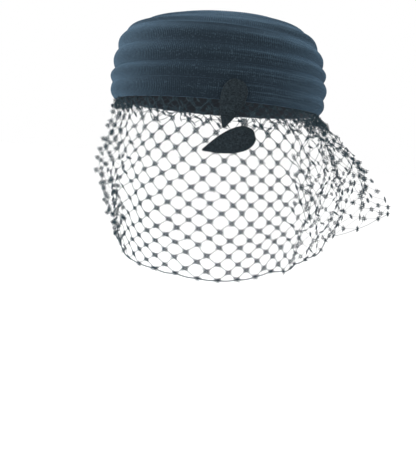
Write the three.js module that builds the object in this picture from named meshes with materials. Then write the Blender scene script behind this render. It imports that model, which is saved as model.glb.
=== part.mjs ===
// A pillbox hat with a short veil, in millimetres, +Z up and the front towards -Y.
// The crown is a thin stiff cap. Padded folds of ribbed cloth are laid round it, one above the other,
// from the rim to the middle of the top. A strip of open netting is sewn under the rim and hangs round
// the front, where two velvet leaves are fixed.
// The origin is the centre of the head opening, level with the crown's lower edge.
import * as THREE from "three";

// Crown and its folds
const crownWidth = 162; // side to side, over the fullest fold
const crownDepth = 170; // front to back, over the fullest fold
const crownHeight = 66; // lower edge to the top of the folds
const foldBulge = 2.8; // how far the fullest fold swells out from its two edges
const foldBack = 1.2; // cloth behind the edge of a fold
const crownWall = 2; // the stiff cap under the folds
const seatGap = 0.3; // clearance between pieces that lie on each other
const centreRadius = 8; // the round end that closes the last fold
const foldSquareness = 0.8; // below 1 a fold is flatter on its face and steeper at its edges

// Netting
const veilDrop = 104; // rim to hem, straight down at the front
const veilBelly = 10; // how far the net swells out halfway down
const netThickness = 1.2;
const netBar = 2.4; // width of the bars between two gaps
const gatherDepth = 7; // how far a full gather stands out below the rim
const gatherOnset = 0.33; // share of the drop by which a gather is at its fullest
const gatherFade = 1.5; // how fast a gather dies out towards the hem
const netFlare = 0.9; // below 1 the net leaves the rim more steeply outwards than it reaches the hem

// Velvet leaves
const leafThickness = 1.4;
const hangingLeafLength = 31;
const hangingLeafWidth = 15.5;
const crossLeafLength = 34.5;
const crossLeafWidth = 15;
const leafWidest = 0.72; // share of the leaf's length, from its tip, at which it is widest
const leafTipCut = 0.03; // share left off the tip, and half as much off the round end

// How finely the round shapes are divided
const turnSteps = 34;
const foldSteps = 4;
const netColumns = 12;
const netRows = 4;
const barSteps = 2;
const leafSteps = 9;
const smallStep = 0.002; // share of the net over which its slope is taken
const seekSteps = 8;

// The lines between two folds, from the rim to the centre, each with the fold above it. height is a
// share of the crown's height at the folds' edges, reach a share of its half width and half depth
// there, tilt how much higher the line lies on the -X side than midway, as a share of the height, and
// swell the share of the full bulge that the fold has.
const foldLines = [
  { above: "rim_fold", height: 0, reach: 0.975, tilt: 0, swell: 0.9 },
  { above: "side_fold_1", height: 0.18, reach: 1, tilt: 0.006, swell: 1 },
  { above: "side_fold_2", height: 0.346, reach: 0.983, tilt: -0.017, swell: 1 },
  { above: "side_fold_3", height: 0.523, reach: 0.959, tilt: 0.021, swell: 1 },
  { above: "shoulder_fold_1", height: 0.707, reach: 0.902, tilt: 0.023, swell: 0.85 },
  { above: "shoulder_fold_2", height: 0.817, reach: 0.8, tilt: -0.02, swell: 0.75 },
  { above: "top_fold_1", height: 0.884, reach: 0.665, tilt: -0.02, swell: 0.7 },
  { above: "top_fold_2", height: 0.932, reach: 0.518, tilt: -0.015, swell: 0.7 },
  { above: "top_fold_3", height: 0.965, reach: 0.371, tilt: -0.01, swell: 0.7 },
  { above: "top_fold_4", height: 0.987, reach: 0.224, tilt: -0.005, swell: 0.7 },
];

// The netting from its end on the -X side, round the front, to its free end on the +X side.
// along is a share of the strip's length, sewn and hem are degrees round the crown at the rim and at
// the hem, 0 at the front and positive towards +X. reach is a share of the crown's half width and half
// depth at the hem, fall a share of the drop and belly a share of the belly.
const veilStations = [
  { along: 0, sewn: -110, hem: -108, reach: 0.88, fall: 0.9, belly: 0.6 },
  { along: 0.08, sewn: -92, hem: -90, reach: 0.89, fall: 0.92, belly: 0.8 },
  { along: 0.19, sewn: -62, hem: -58, reach: 0.9, fall: 0.96, belly: 0.8 },
  { along: 0.29, sewn: -38, hem: -36, reach: 1.04, fall: 0.98, belly: 0.8 },
  { along: 0.4, sewn: -12, hem: -10, reach: 1.22, fall: 1.02, belly: 0.6 },
  { along: 0.5, sewn: 12, hem: 12, reach: 1.22, fall: 1.01, belly: 0.6 },
  { along: 0.6, sewn: 36, hem: 30, reach: 1.2, fall: 0.96, belly: 0.8 },
  { along: 0.71, sewn: 62, hem: 46, reach: 1.2, fall: 0.9, belly: 1.1 },
  { along: 0.83, sewn: 90, hem: 66, reach: 1.3, fall: 0.76, belly: 1.5 },
  { along: 1, sewn: 114, hem: 86, reach: 1.7, fall: 0.67, belly: 1.5 },
];

// Where the netting is bunched up at the rim. at and width are shares of the strip's length, and
// depth is a share of the gather depth.
const veilGathers = [
  { at: 0.09, width: 0.022, depth: 0.6 },
  { at: 0.17, width: 0.02, depth: 0.7 },
  { at: 0.26, width: 0.02, depth: 0.4 },
  { at: 0.66, width: 0.02, depth: 0.6 },
  { at: 0.74, width: 0.02, depth: 0.9 },
  { at: 0.82, width: 0.022, depth: 1 },
  { at: 0.9, width: 0.022, depth: 1 },
];

// Where each leaf lies. tipAcross and tipUp say where its point is, from the middle and from the rim,
// as shares of the leaf's length, and lean is how far its axis turns from straight up, in degrees.
const leaves = [
  {
    name: "leaf_hanging",
    length: hangingLeafLength,
    width: hangingLeafWidth,
    tipAcross: 0.16,
    tipUp: -0.58,
    lean: 14,
  },
  {
    name: "leaf_crosswise",
    length: crossLeafLength,
    width: crossLeafWidth,
    tipAcross: -0.206,
    tipUp: -0.909,
    lean: 69.5,
  },
];

const clothColour = 0x1d242c;
const netColour = 0x171a20;
const velvetColour = 0x121316;

const radians = THREE.MathUtils.degToRad;
const lerp = THREE.MathUtils.lerp;

// The direction and the radius of the crown's outline at a turn round it.
function planAt(turn) {
  const out = new THREE.Vector3(
    (crownWidth / 2) * Math.sin(radians(turn)),
    (-crownDepth / 2) * Math.cos(radians(turn)),
    0,
  );
  const radius = out.length();
  return { out: out.normalize(), radius };
}

// A point of the crown from its place in the upright plane at a turn.
function crownPoint(turn, across) {
  return planAt(turn)
    .out.multiplyScalar(across.x)
    .setZ(across.y);
}

// The fold lines at a turn, with the outward normal at each.
function foldProfile(turn) {
  const edgeRadius = planAt(turn).radius - foldBulge;
  const edgeHeight = crownHeight - foldBulge;
  const points = foldLines.map(
    (line) =>
      new THREE.Vector2(
        line.reach * edgeRadius,
        (line.height - line.tilt * Math.sin(radians(turn))) * edgeHeight,
      ),
  );
  points.push(new THREE.Vector2(centreRadius, edgeHeight));
  const normals = points.map((point, i) => {
    if (i === 0) return new THREE.Vector2(1, 0);
    if (i === points.length - 1) return new THREE.Vector2(0, 1);
    const along = points[i + 1].clone().sub(points[i - 1]).normalize();
    return new THREE.Vector2(along.y, -along.x);
  });
  return { points, normals };
}

function offset(point, normal, distance) {
  return point.clone().addScaledVector(normal, distance);
}

// A closed surface through rings of points that all have the same count. The rings close into a loop,
// or end in two caps. Triangles that shrink to nothing at a pole are left out.
function skinThrough(rings, isLoop) {
  const positions = [];
  const addTriangle = (a, b, c) => {
    if (a.distanceTo(b) < 1e-6 || b.distanceTo(c) < 1e-6) return;
    if (c.distanceTo(a) < 1e-6) return;
    for (const p of [a, b, c]) positions.push(p.x, p.y, p.z);
  };
  const size = rings[0].length;
  const spans = isLoop ? rings.length : rings.length - 1;
  for (let i = 0; i < spans; i++) {
    const near = rings[i];
    const far = rings[(i + 1) % rings.length];
    for (let j = 0; j < size; j++) {
      const k = (j + 1) % size;
      addTriangle(near[j], far[j], far[k]);
      addTriangle(near[j], far[k], near[k]);
    }
  }
  if (!isLoop) {
    const last = rings[rings.length - 1];
    for (let j = 1; j < size - 1; j++) {
      addTriangle(rings[0][0], rings[0][j], rings[0][j + 1]);
      addTriangle(last[0], last[j + 1], last[j]);
    }
  }
  const geometry = new THREE.BufferGeometry();
  geometry.setAttribute(
    "position",
    new THREE.Float32BufferAttribute(positions, 3),
  );
  geometry.computeVertexNormals();
  return geometry;
}

// A solid that runs once round the crown, from its section in the upright plane at each turn.
function roundTheCrown(sectionAt) {
  const rings = [];
  for (let i = 0; i < turnSteps; i++) {
    const turn = (i * 360) / turnSteps;
    rings.push(sectionAt(turn).map((across) => crownPoint(turn, across)));
  }
  return skinThrough(rings, true);
}

// The cap under the folds: a plain hollow with a flat lower edge.
function crownGeometry() {
  const outerDepth = foldBack + seatGap;
  return roundTheCrown((turn) => {
    const { points, normals } = foldProfile(turn);
    const line = (depth) => {
      const inward = points.map((p, i) => offset(p, normals[i], -depth));
      const pole = new THREE.Vector2(0, inward[inward.length - 1].y);
      return [...inward, pole];
    };
    return [...line(outerDepth), ...line(outerDepth + crownWall).reverse()];
  });
}

// One padded fold between two fold lines: its back lies on the cap and its face swells out.
function foldGeometry(index) {
  return roundTheCrown((turn) => {
    const { points, normals } = foldProfile(turn);
    const along = points[index + 1].clone().sub(points[index]).normalize();
    const face = new THREE.Vector2(along.y, -along.x);
    const lower = offset(points[index], along, index ? seatGap / 2 : 0);
    const upper = offset(points[index + 1], along, -seatGap / 2);
    const section = [];
    for (let i = 0; i <= foldSteps; i++) {
      const share = i / foldSteps;
      const arc = Math.pow(Math.sin(Math.PI * share), foldSquareness);
      const swell = foldBulge * foldLines[index].swell * arc;
      section.push(offset(lower.clone().lerp(upper, share), face, swell));
    }
    section.push(offset(upper, normals[index + 1], -foldBack));
    section.push(offset(lower, normals[index], -foldBack));
    return section;
  });
}

// The small round end in the middle of the top.
function centreGeometry() {
  return roundTheCrown((turn) => {
    const { points } = foldProfile(turn);
    const edge = points[points.length - 1];
    const radius = edge.x - seatGap / 2;
    const section = [new THREE.Vector2(0, edge.y - foldBack)];
    section.push(new THREE.Vector2(radius, edge.y - foldBack));
    for (let i = 0; i <= foldSteps; i++) {
      const angle = (i / foldSteps) * (Math.PI / 2);
      const rise = (foldBulge / 2) * Math.sin(angle);
      section.push(new THREE.Vector2(radius * Math.cos(angle), edge.y + rise));
    }
    return section;
  });
}

// The values of a table at a share of its first column, on a smooth curve through the rows.
function stationAt(share) {
  let i = 1;
  while (i < veilStations.length - 1 && veilStations[i].along < share) i++;
  const rows = [i - 2, i - 1, i, i + 1].map(
    (k) => veilStations[THREE.MathUtils.clamp(k, 0, veilStations.length - 1)],
  );
  const [before, from, to, after] = rows;
  const t = (share - from.along) / (to.along - from.along);
  const curved = (column) => {
    const width = to.along - from.along;
    const slopeFrom =
      ((to[column] - before[column]) / (to.along - before.along)) * width;
    const slopeTo =
      ((after[column] - from[column]) / (after.along - from.along)) * width;
    return (
      from[column] * (2 * t ** 3 - 3 * t ** 2 + 1) +
      slopeFrom * (t ** 3 - 2 * t ** 2 + t) +
      to[column] * (3 * t ** 2 - 2 * t ** 3) +
      slopeTo * (t ** 3 - t ** 2)
    );
  };
  return {
    sewn: curved("sewn"),
    hem: curved("hem"),
    reach: curved("reach"),
    fall: curved("fall"),
    belly: curved("belly"),
  };
}

// A point in the middle of the net, at a share of the strip's length and of the way to its hem.
function veilPoint(along, down) {
  const at = stationAt(along);
  const underFold = new THREE.Vector2(-foldBack / 2, -seatGap - netThickness / 2);
  const top = crownPoint(
    at.sewn,
    underFold.add(foldProfile(at.sewn).points[0]),
  );
  const hemReach = planAt(at.hem).radius * at.reach;
  const hem = crownPoint(
    at.hem,
    new THREE.Vector2(hemReach, -veilDrop * at.fall),
  );
  const out = planAt(lerp(at.sewn, at.hem, down)).out;
  const gathered = veilGathers.reduce((sum, gather) => {
    const distance = (along - gather.at) / gather.width;
    return sum + gather.depth * Math.exp(-distance * distance);
  }, 0);
  const onset = Math.sin((Math.PI / 2) * Math.min(1, down / gatherOnset));
  const ridge = gatherDepth * gathered * onset * Math.pow(1 - down, gatherFade);
  const swell = veilBelly * at.belly * Math.sin(Math.PI * down);
  return top
    .lerp(hem, Math.pow(down, netFlare))
    .addScaledVector(out, swell + ridge);
}

// The net's outward direction at the same place.
function veilNormal(along, down) {
  const ahead = veilPoint(Math.min(1, along + smallStep), down);
  const behind = veilPoint(Math.max(0, along - smallStep), down);
  const below = veilPoint(along, Math.min(1, down + smallStep));
  const above = veilPoint(along, Math.max(0, down - smallStep));
  return ahead.sub(behind).cross(above.sub(below)).normalize();
}

// The net as one sheet with a diamond gap in each cell, and half a diamond along its borders.
function veilGeometry() {
  const positions = [];
  const addQuad = (a, b, c, d) => {
    for (const p of [a, b, c, a, c, d]) positions.push(p.x, p.y, p.z);
  };
  const place = (corner, side) => {
    const along = corner.x / (2 * netColumns);
    const down = corner.y / (2 * netRows);
    return veilPoint(along, down).addScaledVector(
      veilNormal(along, down),
      (side * netThickness) / 2,
    );
  };
  const isInside = (i, j) =>
    i >= 0 && j >= 0 && i <= 2 * netColumns && j <= 2 * netRows;
  const onBorder = (a, b) =>
    (a.x === b.x && (a.x === 0 || a.x === 2 * netColumns)) ||
    (a.y === b.y && (a.y === 0 || a.y === 2 * netRows));
  const cellSide = Math.hypot(
    veilPoint(0.5, 0.5).distanceTo(veilPoint(0.5 + 0.5 / netColumns, 0.5)),
    veilPoint(0.5, 0.5).distanceTo(veilPoint(0.5, 0.5 + 0.5 / netRows)),
  );
  const barShare = netBar / cellSide;
  for (let i = 0; i <= 2 * netColumns; i++) {
    for (let j = 0; j <= 2 * netRows; j++) {
      if ((i + j) % 2 === 0) continue;
      const corners = [
        [i - 1, j],
        [i, j + 1],
        [i + 1, j],
        [i, j - 1],
      ]
        .filter(([x, y]) => isInside(x, y))
        .map(([x, y]) => new THREE.Vector2(x, y));
      const middle = corners
        .reduce((sum, c) => sum.add(c), new THREE.Vector2())
        .divideScalar(corners.length);
      const inner = corners.map((c) => {
        const inset = corners.length === 4 ? barShare : 2 * barShare;
        return c.clone().lerp(middle, inset);
      });
      corners.forEach((corner, k) => {
        const next = (k + 1) % corners.length;
        for (let s = 0; s < barSteps; s++) {
          const from = s / barSteps;
          const to = (s + 1) / barSteps;
          const a = corner.clone().lerp(corners[next], from);
          const b = corner.clone().lerp(corners[next], to);
          const c = inner[k].clone().lerp(inner[next], to);
          const d = inner[k].clone().lerp(inner[next], from);
          addQuad(place(a, 1), place(b, 1), place(c, 1), place(d, 1));
          addQuad(place(d, -1), place(c, -1), place(b, -1), place(a, -1));
          addQuad(place(d, 1), place(c, 1), place(c, -1), place(d, -1));
          if (onBorder(corner, corners[next])) {
            addQuad(place(b, 1), place(a, 1), place(a, -1), place(b, -1));
          }
        }
      });
    }
  }
  const geometry = new THREE.BufferGeometry();
  geometry.setAttribute(
    "position",
    new THREE.Float32BufferAttribute(positions, 3),
  );
  geometry.computeVertexNormals();
  return geometry;
}

// The place on the front of the net, as its shares along and down, that lies at a distance across
// from the middle and up from the rim. It is found in a few steps along the net's slopes.
function placeOnNet(across, up) {
  let along = 0.5;
  let down = 0.2;
  for (let i = 0; i < seekSteps; i++) {
    const here = veilPoint(along, down);
    const ahead = veilPoint(along + smallStep, down);
    const below = veilPoint(along, down + smallStep);
    along += (smallStep * (across - here.x)) / (ahead.x - here.x);
    down += (smallStep * (up - here.z)) / (below.z - here.z);
    down = Math.max(0, down);
  }
  return { along, down };
}

// How far in front of the axis a leaf's back lies at a place across and up from the rim's middle: on
// the rim fold's fullest line, and clear of the net below it.
function leafSeat(across, up) {
  const turn = THREE.MathUtils.radToDeg(Math.asin((2 * across) / crownWidth));
  const { points } = foldProfile(turn);
  const foldMiddle = (points[0].x + points[1].x) / 2;
  const foldFace = foldMiddle + foldBulge * foldLines[0].swell;
  const foldFront = foldFace * Math.cos(radians(turn));
  const { along, down } = placeOnNet(across, up);
  const standOff = netThickness / 2 / -veilNormal(along, down).y;
  const netFront = standOff - veilPoint(along, down).y;
  return Math.max(foldFront, netFront) + seatGap;
}

// A leaf with a sharp tip and a round end, bent to lie on the fold and the net.
function leafGeometry(leaf) {
  const lean = radians(leaf.lean);
  const rings = [];
  for (let i = 0; i <= leafSteps; i++) {
    const share = lerp(leafTipCut, 1 - leafTipCut / 2, i / leafSteps);
    const beyond = (share - leafWidest) / (1 - leafWidest);
    const fullness =
      share < leafWidest
        ? Math.sin(((share / leafWidest) * Math.PI) / 2)
        : Math.sqrt(1 - beyond * beyond);
    const half = (leaf.width / 2) * fullness;
    const ring = [];
    for (const [side, layer] of [
      [-1, 0],
      [0, 0],
      [1, 0],
      [1, 1],
      [0, 1],
      [-1, 1],
    ]) {
      const across =
        leaf.tipAcross * leaf.length +
        share * leaf.length * Math.sin(lean) +
        side * half * Math.cos(lean);
      const up =
        leaf.tipUp * leaf.length +
        share * leaf.length * Math.cos(lean) -
        side * half * Math.sin(lean);
      const front = leafSeat(across, up) + layer * leafThickness;
      ring.push(new THREE.Vector3(across, -front, up));
    }
    rings.push(ring);
  }
  return skinThrough(rings, false);
}

function piece(name, geometry, colour, roughness) {
  const material = new THREE.MeshStandardMaterial({
    color: colour,
    roughness,
    metalness: 0,
  });
  const mesh = new THREE.Mesh(geometry, material);
  mesh.name = name;
  return mesh;
}

const hat = new THREE.Group();
hat.add(piece("crown", crownGeometry(), clothColour, 0.95));
foldLines.forEach((line, index) => {
  hat.add(piece(line.above, foldGeometry(index), clothColour, 0.85));
});
hat.add(piece("top_centre", centreGeometry(), clothColour, 0.85));
hat.add(piece("veil", veilGeometry(), netColour, 0.8));
for (const leaf of leaves) {
  hat.add(piece(leaf.name, leafGeometry(leaf), velvetColour, 1));
}

export default hat;
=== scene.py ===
# %% [markdown]
# # A pillbox hat with a net veil
# The hat is a small stiff cap that is covered with padded folds of ribbed cloth. A strip of knotted
# net is sewn under its rim and hangs round the front, where two velvet leaves are fixed.
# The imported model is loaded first. It fixes the place and size of every piece, so the shapes below
# start from the same measures as the solids and only add what solids leave out: ribs, thread,
# pile and the small unevenness of soft cloth.

# %% Load the frame
import math
import random

import bpy
import numpy as np
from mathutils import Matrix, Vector


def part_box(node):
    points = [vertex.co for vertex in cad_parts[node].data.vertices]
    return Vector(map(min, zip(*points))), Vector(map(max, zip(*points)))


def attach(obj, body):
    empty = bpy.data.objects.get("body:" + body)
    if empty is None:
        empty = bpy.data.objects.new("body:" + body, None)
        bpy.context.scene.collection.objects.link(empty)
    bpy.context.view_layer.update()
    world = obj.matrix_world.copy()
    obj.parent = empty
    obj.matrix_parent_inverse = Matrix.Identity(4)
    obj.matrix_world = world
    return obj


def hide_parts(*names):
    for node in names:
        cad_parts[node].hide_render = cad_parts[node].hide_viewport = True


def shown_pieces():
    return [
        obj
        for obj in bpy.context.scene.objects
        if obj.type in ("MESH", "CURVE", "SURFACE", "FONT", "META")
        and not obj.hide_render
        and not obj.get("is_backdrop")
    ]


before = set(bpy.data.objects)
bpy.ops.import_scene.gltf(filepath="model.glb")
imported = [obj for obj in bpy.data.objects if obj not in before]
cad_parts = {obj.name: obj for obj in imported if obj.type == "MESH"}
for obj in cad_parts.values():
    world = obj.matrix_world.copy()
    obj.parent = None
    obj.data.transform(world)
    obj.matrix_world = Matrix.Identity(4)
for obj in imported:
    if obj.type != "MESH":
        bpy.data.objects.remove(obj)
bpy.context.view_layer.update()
print("solids", sorted(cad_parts))

# %% Measures of the hat, in metres
MM = 0.001
CROWN_WIDTH = 162 * MM
CROWN_DEPTH = 170 * MM
CROWN_HEIGHT = 66 * MM
FOLD_BULGE = 2.8 * MM
FOLD_BACK = 1.2 * MM
CAP_WALL = 2 * MM
SEAT_GAP = 0.3 * MM
CENTRE_RADIUS = 8 * MM
FOLD_SQUARENESS = 0.85

# The lines between two folds, from the rim up: node above the line, height, reach, tilt, swell.
FOLD_LINES = [
    ("rim_fold", 0, 0.975, 0, 0.9),
    ("side_fold_1", 0.18, 1, 0.006, 1),
    ("side_fold_2", 0.346, 0.983, -0.017, 1),
    ("side_fold_3", 0.523, 0.959, 0.021, 1),
    ("shoulder_fold_1", 0.707, 0.902, 0.023, 0.85),
    ("shoulder_fold_2", 0.817, 0.8, -0.02, 0.75),
    ("top_fold_1", 0.884, 0.665, -0.02, 0.7),
    ("top_fold_2", 0.932, 0.518, -0.015, 0.7),
    ("top_fold_3", 0.965, 0.371, -0.01, 0.7),
    ("top_fold_4", 0.987, 0.224, -0.005, 0.7),
]
widest_low, widest_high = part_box("side_fold_1")
print("widest fold", round(widest_high[0] - widest_low[0], 4), "for", CROWN_WIDTH)

# %% [markdown]
# The camera stands where the photograph was taken from: about 0.4 m in front of the hat and a little
# below its rim, looking down by ten degrees and leaning slightly to one side. A fixed place and turn
# is enough, because nothing moves.

# %% Camera
camera_data = bpy.data.cameras.new("photo_camera")
camera_data.lens = 38.22
camera_data.sensor_width = 36
camera = bpy.data.objects.new("photo_camera", camera_data)
camera.rotation_mode = "ZYX"
camera.rotation_euler = (math.radians(80), 0, math.radians(4.8))
camera.location = (0.0016, -0.392, -0.029)
bpy.context.scene.collection.objects.link(camera)
bpy.context.scene.camera = camera
print("camera", [round(v, 3) for v in camera.location], "lens", camera_data.lens)

# %% [markdown]
# The studio is a wide pale floor well below the hat, an even white surround and large soft lamps.
# An even surround shows dark cloth best: it has no hard highlight, and the folds are told apart by
# their sheen. The lamps in front, above and to the -X side brighten the top and that side.

# %% Surround and lamps
world = bpy.data.worlds.new("white_studio")
bpy.context.scene.world = world
world.use_nodes = True
surround = world.node_tree.nodes["Background"]
surround.inputs["Color"].default_value = (1, 1, 1, 1)
surround.inputs["Strength"].default_value = 1.0
bpy.context.scene.view_settings.view_transform = "Standard"

# Name, place, side in metres and power in watts.
SOFT_LAMPS = [
    ("lamp_front", (-0.3, -1.3, 0.2), 0.7, 5.5),
    ("lamp_above", (-0.2, 0.1, 0.9), 0.8, 5),
    ("lamp_left", (-0.9, 0.1, 0.25), 0.7, 7),
]


def add_soft_lamp(name, place, size, power):
    """A square soft lamp at a place, facing the origin."""
    lamp_data = bpy.data.lights.new(name, "AREA")
    lamp_data.size = size
    lamp_data.energy = power
    lamp = bpy.data.objects.new(name, lamp_data)
    lamp.location = place
    facing = Vector((0, 0, 0)) - Vector(place)
    lamp.rotation_euler = facing.to_track_quat("-Z", "Y").to_euler()
    bpy.context.scene.collection.objects.link(lamp)


for soft_lamp in SOFT_LAMPS:
    add_soft_lamp(*soft_lamp)
print("lamps", [name for name, *_ in SOFT_LAMPS])

# %% Floor
FLOOR_LEVEL = -0.42
FLOOR_SIZE = 30
bpy.ops.object.select_all(action="DESELECT")
bpy.ops.mesh.primitive_plane_add(size=FLOOR_SIZE, location=(0, 0, 0))
floor = bpy.context.object
floor.name = "studio_floor"
bpy.ops.object.mode_set(mode="EDIT")
bpy.ops.mesh.select_all(action="SELECT")
bpy.ops.transform.translate(value=(0, 0, FLOOR_LEVEL))
bpy.ops.object.mode_set(mode="OBJECT")
floor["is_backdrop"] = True
print("floor at", FLOOR_LEVEL)

# %% [markdown]
# Two effects are needed by several finishes, so each is a shader group: a fine grain, which mottles
# the colour and roughens the surface, and a plain weave of crossing threads. A group has named
# inputs and outputs, is built once, and takes its own values in each finish.


# %% Helpers for shader nodes
def add_node(tree, kind, **values):
    """A new node with its properties set."""
    node = tree.nodes.new(kind)
    for name, value in values.items():
        setattr(node, name, value)
    return node


def add_math(tree, operation, first, second=None, third=None):
    """A Math node; each input is a socket or a number."""
    node = add_node(tree, "ShaderNodeMath", operation=operation)
    for slot_index, value in enumerate((first, second, third)):
        if value is None:
            continue
        if isinstance(value, (int, float)):
            node.inputs[slot_index].default_value = value
        else:
            tree.links.new(value, node.inputs[slot_index])
    return node.outputs[0]


def add_clamp(tree, value, low, high):
    """A value held between two numbers."""
    return add_math(tree, "MINIMUM", add_math(tree, "MAXIMUM", value, low), high)


def add_mix(tree, share, dark, light):
    """A colour between two; each is a socket or a colour."""
    node = add_node(tree, "ShaderNodeMix", data_type="RGBA")
    for name, value in (("Factor_Float", share), ("A_Color", dark), ("B_Color", light)):
        socket = next(s for s in node.inputs if s.identifier == name)
        if isinstance(value, (tuple, int, float)):
            socket.default_value = value
        else:
            tree.links.new(value, socket)
    return next(s for s in node.outputs if s.identifier == "Result_Color")


def add_bump(tree, height, distance, strength):
    """A Bump node on a height."""
    node = add_node(tree, "ShaderNodeBump")
    node.inputs["Distance"].default_value = distance
    node.inputs["Strength"].default_value = strength
    tree.links.new(height, node.inputs["Height"])
    return node.outputs["Normal"]


# %% Group: fine grain
# Lint: crumbs to the metre, their size as a share of a cell, and how many cells stay empty.
LINT_SCALE = 75
LINT_SIZE = 0.04
LINT_EMPTY = 0.86


def build_fine_grain():
    """Mottling: coarse patches, fine specks and scattered crumbs of lint, all from 0 to 1."""
    tree = bpy.data.node_groups.new("fine_grain", "ShaderNodeTree")
    tree.interface.new_socket("Vector", in_out="INPUT", socket_type="NodeSocketVector")
    for name in ("Patch Scale", "Speck Scale"):
        tree.interface.new_socket(name, in_out="INPUT", socket_type="NodeSocketFloat")
    for name in ("Patches", "Specks", "Lint"):
        tree.interface.new_socket(name, in_out="OUTPUT", socket_type="NodeSocketFloat")
    inside = add_node(tree, "NodeGroupInput")
    outside = add_node(tree, "NodeGroupOutput")
    patches = add_node(tree, "ShaderNodeTexNoise")
    patches.inputs["Detail"].default_value = 3
    specks = add_node(tree, "ShaderNodeTexNoise")
    specks.inputs["Detail"].default_value = 1
    for noise, scale, result in (
        (patches, "Patch Scale", "Patches"),
        (specks, "Speck Scale", "Specks"),
    ):
        tree.links.new(inside.outputs["Vector"], noise.inputs["Vector"])
        tree.links.new(inside.outputs[scale], noise.inputs["Scale"])
        tree.links.new(noise.outputs["Fac"], outside.inputs[result])
    crumbs = add_node(tree, "ShaderNodeTexVoronoi")
    crumbs.inputs["Scale"].default_value = LINT_SCALE
    tree.links.new(inside.outputs["Vector"], crumbs.inputs["Vector"])
    near = add_math(tree, "LESS_THAN", crumbs.outputs["Distance"], LINT_SIZE)
    share = add_node(tree, "ShaderNodeSeparateColor")
    tree.links.new(crumbs.outputs["Color"], share.inputs[0])
    few = add_math(tree, "GREATER_THAN", share.outputs[0], LINT_EMPTY)
    tree.links.new(add_math(tree, "MULTIPLY", near, few), outside.inputs["Lint"])
    return tree


fine_grain = build_fine_grain()
print("group", fine_grain.name)


# %% Group: crossing threads
def build_crossing_threads():
    """A plain weave: the height of threads that cross on two axes of a vector."""
    tree = bpy.data.node_groups.new("crossing_threads", "ShaderNodeTree")
    tree.interface.new_socket("Vector", in_out="INPUT", socket_type="NodeSocketVector")
    for name in ("Across", "Along"):
        tree.interface.new_socket(name, in_out="INPUT", socket_type="NodeSocketFloat")
    tree.interface.new_socket("Height", in_out="OUTPUT", socket_type="NodeSocketFloat")
    inside = add_node(tree, "NodeGroupInput")
    outside = add_node(tree, "NodeGroupOutput")
    axes = add_node(tree, "ShaderNodeSeparateXYZ")
    tree.links.new(inside.outputs["Vector"], axes.inputs[0])
    turn = 2 * math.pi
    across = add_math(tree, "MULTIPLY", axes.outputs["X"], inside.outputs["Across"])
    along = add_math(tree, "MULTIPLY", axes.outputs["Y"], inside.outputs["Along"])
    across_wave = add_math(tree, "SINE", add_math(tree, "MULTIPLY", across, turn))
    along_wave = add_math(tree, "SINE", add_math(tree, "MULTIPLY", along, turn))
    product = add_math(tree, "MULTIPLY", across_wave, along_wave)
    height = add_math(tree, "MULTIPLY_ADD", product, 0.5, 0.5)
    tree.links.new(height, outside.inputs["Height"])
    return tree


crossing_threads = build_crossing_threads()
print("group", crossing_threads.name)

# %% [markdown]
# The ribbed cloth is a dark navy with a fine rib that runs over each fold from edge to edge. The
# real colour changes with the light: blue-grey on top and at the sides, where the cloth is seen at
# a slant, and nearly black in front. A sheen on a dark colour does that by itself. Faint lighter
# streaks on the crests, strongest towards +X, are painted highlight. The ribs and the creases between
# two folds are found through the UV map: U counts the ribs and V runs across a fold.


# %% Helpers for finishes
def new_material(name, roughness, sheen, sheen_roughness, sheen_tint, specular):
    """A material with the plain values set on the shader itself."""
    material = bpy.data.materials.new(name)
    material.use_nodes = True
    shader = material.node_tree.nodes["Principled BSDF"]
    shader.inputs["Roughness"].default_value = roughness
    shader.inputs["Sheen Weight"].default_value = sheen
    shader.inputs["Sheen Roughness"].default_value = sheen_roughness
    shader.inputs["Sheen Tint"].default_value = sheen_tint
    shader.inputs["Specular IOR Level"].default_value = specular
    return material, material.node_tree, shader


def place_group(tree, group, vector, **values):
    """A shader group in a material, with its own values."""
    node = add_node(tree, "ShaderNodeGroup", node_tree=group)
    tree.links.new(vector, node.inputs["Vector"])
    for name, value in values.items():
        node.inputs[name.replace("_", " ")].default_value = value
    return node


# %% Ribbed cloth: from one crease to the next, and along the fold
# Powers that shape the masks across a fold: a smaller width is a narrower crease or a broader crest.
CREASE_WIDTH = 0.25
CREST_PLACE = 1.6
CREST_WIDTH = 0.8
# Noise of the painted highlight streaks: cells to the metre round and up, from crease to crease;
# contrast.
STREAK_ROUND = 30.0
STREAK_LEVEL = 45.0
STREAK_ACROSS = 7.0
STREAK_GAIN = 4.5
STREAK_CUT = -2.1
# The painted highlight is strongest towards +X: its rise for each metre, its middle, its least.
HIGHLIGHT_RISE = 22.0
HIGHLIGHT_MIDDLE = 0.45
HIGHLIGHT_LEAST = 0.12


def mask_open_face(tree, across):
    """1 between a fold's two creases, falling steeply to 0 in them."""
    far = add_math(tree, "SUBTRACT", 1.0, across)
    hump = add_math(tree, "MULTIPLY", add_math(tree, "MULTIPLY", across, far), 4.0)
    return add_math(tree, "POWER", add_math(tree, "MAXIMUM", hump, 0.0), CREASE_WIDTH)


def mask_crest(tree, across):
    """1 on a fold's crest, which lies above its middle."""
    risen = add_math(tree, "POWER", across, CREST_PLACE)
    crest = add_math(tree, "SINE", add_math(tree, "MULTIPLY", risen, math.pi))
    return add_math(tree, "POWER", add_math(tree, "MAXIMUM", crest, 0.0), CREST_WIDTH)


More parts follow.
